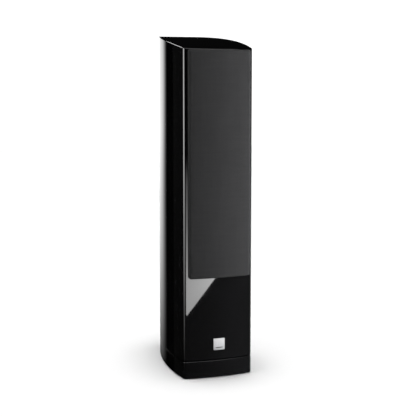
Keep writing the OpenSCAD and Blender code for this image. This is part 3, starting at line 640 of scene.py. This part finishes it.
rear = wall("lacquer_rear", lambda inset: both_sides(inset, "rear"))
port_throat = PORT_R + PORT_WALL + SEAT_GAP
port_hole = stepped(PORT_R + PORT_LIP, PORT_SEAT, port_throat, proud=0.01, deep=0.04)
cutters = [drill(port_hole, facing_rear(0, DEPTH, z)) for z in PORT_Z]
at_terminal = facing_rear(0, DEPTH, TERMINAL_Z)
seat = rounded(TERMINAL_W + 2 * SEAT_GAP, TERMINAL_H + 2 * SEAT_GAP, TERMINAL_CORNER + SEAT_GAP)
cutters.append(prism("seat", seat, -TERMINAL_SEAT, 0.01, at_terminal))
cutters.append(prism("window", rounded(*TERMINAL_WINDOW), -0.04, 0.005, at_terminal))
cut(rear, cutters)
finish_piece(shade(rear, cabinet_normal), "cabinet", "black_lacquer", "rear_panel")

# Top panel: the outline under the arch, its upper edge rounded
outline_0, outline_r = whole(half_outline(0)), whole(half_outline(TOP_EDGE_R))
rings = [[row(p, arch(p.y, CAP_T)) for p, n, t in outline_0]]
truth = {}
top_rings = []
for i in range(9):
    a = math.radians(90 * i / 8)
    ring, normals = [], []
    for p, n, t in outline_r:
        up = Vector((0, p.y - TOP_PEAK, arch(p.y, TOP_EDGE_R) - TOP_CZ)).normalized()
        lean = (math.cos(a) * Vector((n.x, n.y, 0)) + math.sin(a) * up).normalized()
        c = Vector((p.x, p.y, arch(p.y, TOP_EDGE_R)))
        q = c + TOP_EDGE_R * lean
        ring.append((q.x, CHORD_Y + q.y, q.z))
        normals.append(lean)
    top_rings.append((ring, normals))
rings += [ring for ring, normals in top_rings]
TOP_MIDDLE = CHORD_Y + 0.2
for share in (0.985, 0.96, 0.92, 0.86, 0.78, 0.68, 0.56, 0.44, 0.32, 0.2, 0.1):
    ring = [(share * x, TOP_MIDDLE + share * (y - TOP_MIDDLE)) for x, y, z in top_rings[-1][0]]
    rings.append([(x, y, arch(y - CHORD_Y)) for x, y in ring])
top = loft("lacquer_top", rings)
for ring, normals in top_rings:
    for q, n in zip(ring, normals):
        truth[tuple(round(v, 6) for v in q)] = n


def top_normal(co, face):
    """Outward normal of the top panel's rounded edge and arch at a point."""
    known = truth.get(tuple(round(v, 6) for v in co))
    if known is None:
        s = co.y - CHORD_Y
        if abs(co.z - arch(s)) > TOP_SLACK:
            return None
        known = Vector((0, s - TOP_PEAK, co.z - TOP_CZ)).normalized()
    return known if known.dot(face) > 0.5 else None


finish_piece(shade(top, top_normal), "cabinet", "black_lacquer", "top_panel")

# Plinth: the same outline, rounded above and below
rings = []
for inset, drop in quarter(LOW_R, FILLET):
    rings.append([row(p, PLINTH_LOW + drop) for p, n, t in whole(half_outline(inset))])
for inset, drop in quarter(PLINTH_R, FILLET[::-1]):
    rings.append([row(p, PLINTH_TOP - drop) for p, n, t in whole(half_outline(inset))])
plinth = loft("lacquer_plinth", rings)
cutters = []
for x in (-1, 1):
    holes = [(spot, SOCKET_R, INSERT_DEPTH) for spot in INSERTS]
    holes += [(spot, RECESS_R, RECESS_DEPTH) for spot in PLINTH_SCREWS]
    for (u, v), radius, depth in holes:
        place = Matrix.Translation((x * u, CHORD_Y + v, PLINTH_LOW))
        cutters.append(drill([(radius, -0.02), (radius, depth)], place, 48))
cut(plinth, cutters)
plinth_normal = wall_normal(PLINTH_LOW, LOW_R, PLINTH_TOP, PLINTH_R)
finish_piece(shade(plinth, plinth_normal), "cabinet", "black_lacquer", "plinth")

# ---- Badge: plain satin plate with a softened edge ----

levels = [(0.0, 0.0), (0.0, BADGE_T - BADGE_EDGE)]
levels += [(inset, BADGE_T - drop) for inset, drop in quarter(BADGE_EDGE, (30, 60, 90))]
rings = [[(p.x, p.y, h) for p, n in rounded(BADGE_W, BADGE_W, BADGE_CORNER, inset)] for inset, h in levels]
badge = loft("badge", rings)
badge.data.transform(at_badge)
line = rounded(LINE_W, LINE_H, LINE_H * 0.45)
at_line = facing_front(0, BADGE_S, BADGE.z - LINE_DROP)
cut(badge, [prism("line", line, BADGE_T - LINE_DEPTH, 2 * BADGE_T, at_line)])
finish_piece(shade(badge, angle=40), "cabinet", "badge_metal", "badge_plate")

# ---- Grille cloth, stretched over the frame and turned in behind it ----

cloth_low, cloth_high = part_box("grille_cloth")
GRILLE_W, GRILLE_H = cloth_high.x - cloth_low.x, cloth_high.z - cloth_low.z
GRILLE_Z = (cloth_high.z + cloth_low.z) / 2
NEAR, FAR, CLOTH_EDGE, CLOTH_CORNER = 0.001, 0.016, 0.0045, 0.006


def grille_outline(inset):
    """Loop in the (x, z) plane with points along the straights too."""
    corners = rounded(GRILLE_W, GRILLE_H, CLOTH_CORNER, inset, 8)
    out = []
    for i, (p, n) in enumerate(corners):
        out.append(p)
        q = corners[(i + 1) % len(corners)][0]
        if i % 9 == 8:
            steps = 24 if abs(q.x - p.x) > abs(q.y - p.y) else 56
            out += [p.lerp(q, k / steps) for k in range(1, steps)]
    return out


def at_bow(u, v, d):
    """Point (u, v) from the grille's middle, d in front of the bowed baffle."""
    return (u, CHORD_Y + FRONT_CY - math.sqrt((FRONT_R + d) ** 2 - u * u), GRILLE_Z + v)


TURNED_IN, CLOTH_T, HEM = 0.007, 0.0005, 0.021
profile = [(TURNED_IN, NEAR - 0.0003), (0.0012, NEAR - 0.0003), (0.0003, NEAR + 0.0001), (0.0, NEAR + 0.0008)]
profile += [(0.0, (NEAR + FAR) / 2)]
profile += [(inset, FAR - drop) for inset, drop in quarter(CLOTH_EDGE, (0, 15, 30, 45, 60, 75, 90))]
rings = [[at_bow(p.x, p.y, d) for p in grille_outline(inset)] for inset, d in profile]
face_rim = grille_outline(CLOTH_EDGE)
for share in (0.97, 0.93, 0.87, 0.8, 0.72, 0.64, 0.55, 0.46, 0.37, 0.28, 0.19, 0.1, 0.02):
    rings.append([at_bow(p.x * share, p.y * share, FAR) for p in face_rim])
cloth_piece = loft("cloth", rings, (False, True))
thicken = cloth_piece.modifiers.new("thick", "SOLIDIFY")
thicken.thickness, thicken.offset = CLOTH_T, -1.0
bake(cloth_piece)
shade(cloth_piece, angle=60)
finish_piece(cloth_piece, "grille", "grille_cloth", "grille_cloth")

# ---- Roll surrounds and spiders, which flex between the cabinet and the moving cones ----


def flexing(piece, slot, node):
    """Gives the piece its material, hides the CAD node it stands for and bakes its placement."""
    piece.data.materials.append(LOOKS[slot])
    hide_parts(node)
    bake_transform(piece)


def half_round(mid, radius, degrees):
    """Points of a roll at these angles, from its inner side at 0 to its outer side at 180."""
    turns = [math.radians(a) for a in degrees]
    return [(mid - radius * math.cos(a), radius * math.sin(a)) for a in turns]


def roll_profile(mid, radius, t, lip_in, lip_out, steps=20):
    """Half-round roll of thickness t with a flat lip on each side."""
    inner_lip, outer_lip = mid - radius - lip_in, mid + radius + lip_out
    over = half_round(mid, radius, np.linspace(8, 172, steps))
    under = half_round(mid, radius - t, np.linspace(176, 4, steps))
    return [
        (inner_lip, t), (mid - radius - ROLL_STEP, t), *over, (mid + radius + ROLL_STEP, t), (outer_lip, t),
        (outer_lip, 0), (mid + radius - t, 0), *under, (mid - radius + t, 0), (inner_lip, 0),
    ]


def spider_profile(r_in, r_out, t, glued_in, glued_out, waves=5, height=0.0015, steps=60):
    """Corrugated disc, flat where it is glued at its two rims."""
    span = r_out - r_in
    first, last = glued_in / span, 1 - glued_out / span
    over, under = [], []
    for i in range(steps + 1):
        u = i / steps
        phase = 2 * math.pi * waves * (u - first) / (last - first)
        h = height * math.sin(phase) if first <= u <= last else 0
        over.append((r_in + span * u, t - SPIDER_DEPTH + h))
        under.append((r_in + span * u, h - SPIDER_DEPTH))
    return over + under[::-1]


ROLL_STEP = 0.0002
woofer_roll = roll_profile(mid=0.0587, radius=0.0065, t=0.0008, lip_in=0.0025, lip_out=0.004)
tweeter_roll = roll_profile(mid=0.0148, radius=0.0016, t=0.0003, lip_in=0.0004, lip_out=0.0005)
woofer_spider = spider_profile(r_in=0.01505, r_out=0.050, t=0.0006, glued_in=0.002, glued_out=0.006)
for tag, z in zip(("upper", "lower"), WOOFER_Z):
    centre, place = Vector((0, CHORD_Y + WOOFER_Y, z)), facing_front(0, WOOFER_Y, z)
    roll = shade(lathe(f"surround_{tag}", woofer_roll, place, 128), angle=40)
    flexing(roll, "black_rubber", f"woofer_{tag}_surround")
    spider = shade(lathe(f"spider_{tag}", woofer_spider, place), angle=50)
    flexing(spider, "spider_cloth", f"woofer_{tag}_spider")

centre = Vector((0, CHORD_Y + TWEETER_Y, TWEETER_Z))
place = facing_front(0, TWEETER_Y + TWEETER_SET_BACK, TWEETER_Z)
roll = shade(lathe("surround_tweeter", tweeter_roll, place), angle=40)
flexing(roll, "dome_silk", "tweeter_surround")

# ---- Studio ----


def strip(name, lefts, rights, level, columns=1):
    """Sheet between two rows of points that only reflections see. level(point) gives its radiance."""
    points = [a.lerp(b, i / columns) for a, b in zip(lefts, rights) for i in range(columns + 1)]
    faces = []
    for j in range(len(lefts) - 1):
        for i in range(columns):
            k = j * (columns + 1) + i
            faces.append((k, k + 1, k + columns + 2, k + columns + 1))
    piece = link(name, points, faces)
    levels = piece.data.attributes.new("radiance", "FLOAT", "POINT")
    levels.data.foreach_set("value", [level(p) for p in points])
    piece.visible_camera = piece.visible_diffuse = piece.visible_shadow = False
    mat = bpy.data.materials.new(name)
    mat.use_nodes = True
    tree = mat.node_tree
    tree.nodes.clear()
    out = tree.nodes.new("ShaderNodeOutputMaterial")
    emission = tree.nodes.new("ShaderNodeEmission")
    radiance = tree.nodes.new("ShaderNodeAttribute")
    radiance.attribute_name = "radiance"
    tree.links.new(radiance.outputs["Fac"], emission.inputs["Strength"])
    tree.links.new(emission.outputs[0], out.inputs[0])
    piece.data.materials.append(mat)
    return piece


def card(name, corners, level, steps=(24, 24)):
    """Four-cornered flat card."""
    a, b, c, d = (Vector(p) for p in corners)
    shares = [j / steps[1] for j in range(steps[1] + 1)]
    return strip(name, [a.lerp(d, v) for v in shares], [b.lerp(c, v) for v in shares], level, steps[0])


def facing(name, y, xs, zs, level, steps=(1, 1)):
    """Upright card across the speaker's front or back, at y."""
    (x0, x1), (z0, z1) = xs, zs
    return card(name, [(x0, y, z0), (x1, y, z0), (x1, y, z1), (x0, y, z1)], level, steps)


def upright(name, azimuth, distance, width, z0, z1, level):
    """Upright card facing the speaker, centred on an azimuth measured from +Y towards +X."""
    a = math.radians(azimuth)
    c = Vector((math.sin(a), math.cos(a), 0)) * distance
    t = Vector((math.cos(a), -math.sin(a), 0)) * width / 2
    low, high = Vector((0, 0, z0)), Vector((0, 0, z1))
    return card(name, [c - t + low, c + t + low, c + t + high, c - t + high], level)


# Plain pale floor, which reflections leave out
FLOOR = 9
floor_corners = [(FLOOR * u, FLOOR * v, 0) for u, v in ((-1, -1), (1, -1), (1, 1), (-1, 1))]
floor = link("floor", floor_corners, [(0, 1, 2, 3)])
floor.visible_glossy = False
paper = Net("floor_paper", Roughness=0.9, Specular_IOR_Level=0.0)
paper.colour(paper.noise(1.5, 2.0), (0.86, 0.86, 0.86), (0.88, 0.88, 0.88))
floor.data.materials.append(paper.mat)

# Key light from the right, which neither lights the floor nor shows in reflections
KEY_AZIMUTH, KEY_ELEVATION, KEY_DISTANCE = math.radians(106), math.radians(3), 2.6
KEY_WIDTH, KEY_HEIGHT, KEY_POWER, KEY_AIM_Z = 1.0, 1.6, 970, 0.22
key = bpy.data.objects.new("key_right", bpy.data.lights.new("key_right", "AREA"))
key.data.shape, key.data.energy = "RECTANGLE", KEY_POWER
key.data.size, key.data.size_y = KEY_WIDTH, KEY_HEIGHT
reach = math.cos(KEY_ELEVATION)
key_way = Vector((math.sin(KEY_AZIMUTH) * reach, math.cos(KEY_AZIMUTH) * reach, math.sin(KEY_ELEVATION)))
key.location = Vector((0, 0, KEY_AIM_Z)) + key_way * KEY_DISTANCE
key.rotation_euler = (-key_way).to_track_quat("-Z", "Y").to_euler()
key.visible_camera = key.visible_glossy = False
bpy.context.scene.collection.objects.link(key)
unlit = bpy.data.collections.new("outside_key")
unlit.objects.link(floor)
unlit.collection_objects[0].light_linking.link_state = "EXCLUDE"
key.light_linking.receiver_collection = unlit

# Cards that only reflections see, for the lacquer to mirror
BACK_Y, BACK_TOP, FRONT_Y, FAR_FRONT_Y = 2.1, 1.06, -3.2, -8.5


def back_level(p):
    """Fades to the left, downwards and at the upper right."""
    fade = smooth(0.45, 0.63, p.x) * smooth(0.3, 1.0, p.z)
    reach = 0.1 * smooth(0.2, 0.95, p.z)
    across = smooth(-0.62 - 0.3 * reach, -0.12 - 1.5 * reach, p.x)
    return 1.65 * across * min(1, max(0, (p.z + 0.68) / 1.3)) * (1 - fade)


def far_front_level(p):
    return (0.065 + 0.055 * smooth(-1.0, 5.8, p.x)) * (1 - 0.9 * smooth(-1.3, 1.0, p.z))


def low_front_level(p):
    """Brightest right of the middle, with soft edges all round."""
    across = smooth(0.0, 1.9, p.x) * smooth(2.8, 2.2, p.x)
    return 6.5 * across * smooth(0.2, 0.6, p.z) * smooth(0.9, 0.6, p.z)


facing("card_back", BACK_Y, (-0.7, 2.8), (-0.7, BACK_TOP), back_level, (60, 24))
facing("card_back_high", BACK_Y, (-0.7, 0.45), (BACK_TOP, 1.5), back_level, (24, 1))
facing("card_rim", BACK_Y, (-1.8, -0.45), (1.75, 2.9), lambda p: 5.0)
upright("card_left", -112, 1.6, 1.5, -0.6, 2.2, lambda p: 9.0 * smooth(-0.48, 0.75, p.z))
upright("card_side", -60, 2.6, 3.4, -1.2, 2.0, lambda p: 0.014 + 0.008 * smooth(-0.5, 0.8, p.z))
upright("card_right", 95, 2.2, 2.4, -1.0, 1.3, lambda p: 1.3)
facing("card_front", FAR_FRONT_Y, (-3.5, 7.0), (-4.0, 3.0), far_front_level, (24, 24))
facing("card_front_high", FRONT_Y, (-0.6, 2.0), (1.4, 3.2), lambda p: 3.6)
facing("card_front_low", FRONT_Y, (0.0, 2.8), (0.2, 0.9), low_front_level, (16, 10))
over = [(-0.8, -1.6, 2.6), (0.8, -1.6, 2.6), (0.8, -0.5, 2.6), (-0.8, -0.5, 2.6)]
card("card_over", over, lambda p: 1.0, (1, 1))


def floor_mirrored(x, z):
    """Where the camera sees the floor mirrored in the bowed front at x, z."""
    spot = Vector((x, CHORD_Y + FRONT_CY - math.sqrt(FRONT_R**2 - x * x), z))
    n = (spot - Vector((0, CHORD_Y + FRONT_CY, z))).normalized()
    way = (spot - camera.location).reflect(n)
    return spot - way * (z / way.z)


# Glowing sheet on the floor in front, seen only by reflections. Its right edge is worked out from the
# camera's place, so that its mirror image is the bright patch under the grille's left half
PATCH_FOOT, PATCH_TIP = Vector((-0.0975, 0.196)), Vector((-0.004, 0.314))
along = [PATCH_FOOT.lerp(PATCH_TIP, t) for t in (0, 0.15, 0.3, 0.45, 0.6, 0.75, 0.9, 1)]
rights = [floor_mirrored(q.x, q.y) for q in along]
rights += [Vector((0.62 + 0.6 * k, -2.0 - 1.2 * k, 0)) for k in range(6)]
lefts = [Vector((-0.1, p.y, 0)) for p in rights]


def patch_level(p):
    """Rises to the right; falls off with distance and ends softly."""
    return (7.4 + 3.2 * smooth(-0.1, 0.45, p.x)) * min(1, -1.6 / p.y) ** 1.2 * smooth(8.0, 5.0, -p.y)


strip("floor_patch", lefts, rights, patch_level)

# Surroundings: brightest overhead, white to the camera and nearly black to reflections
HORIZON, ZENITH, ZENITH_FOCUS, SEEN, REFLECTED = 0.27, 58.0, 120.0, 1.2, 0.003
world = bpy.data.worlds.new("studio")
bpy.context.scene.world = world
world.use_nodes = True
tree = world.node_tree
way = tree.nodes.new("ShaderNodeTexCoord")
split = tree.nodes.new("ShaderNodeSeparateXYZ")
tree.links.new(way.outputs["Generated"], split.inputs[0])
rise = tree.nodes.new("ShaderNodeMath")
rise.operation = "POWER"
rise.inputs[1].default_value = ZENITH_FOCUS
tree.links.new(split.outputs["Z"], rise.inputs[0])
path = tree.nodes.new("ShaderNodeLightPath")


def switch(low, high, share):
    """low where share is 0, high where it is 1."""
    mix = tree.nodes.new("ShaderNodeMapRange")
    for name, value in (("To Min", low), ("To Max", high), ("Value", share)):
        if isinstance(value, bpy.types.NodeSocket):
            tree.links.new(value, mix.inputs[name])
        else:
            mix.inputs[name].default_value = value
    return mix.outputs[0]


overhead = switch(HORIZON, ZENITH, rise.outputs[0])
seen = switch(overhead, SEEN, path.outputs["Is Camera Ray"])
background = tree.nodes["Background"].inputs
tree.links.new(switch(seen, REFLECTED, path.outputs["Is Glossy Ray"]), background["Strength"])
background["Color"].default_value = (1, 1, 1, 1)
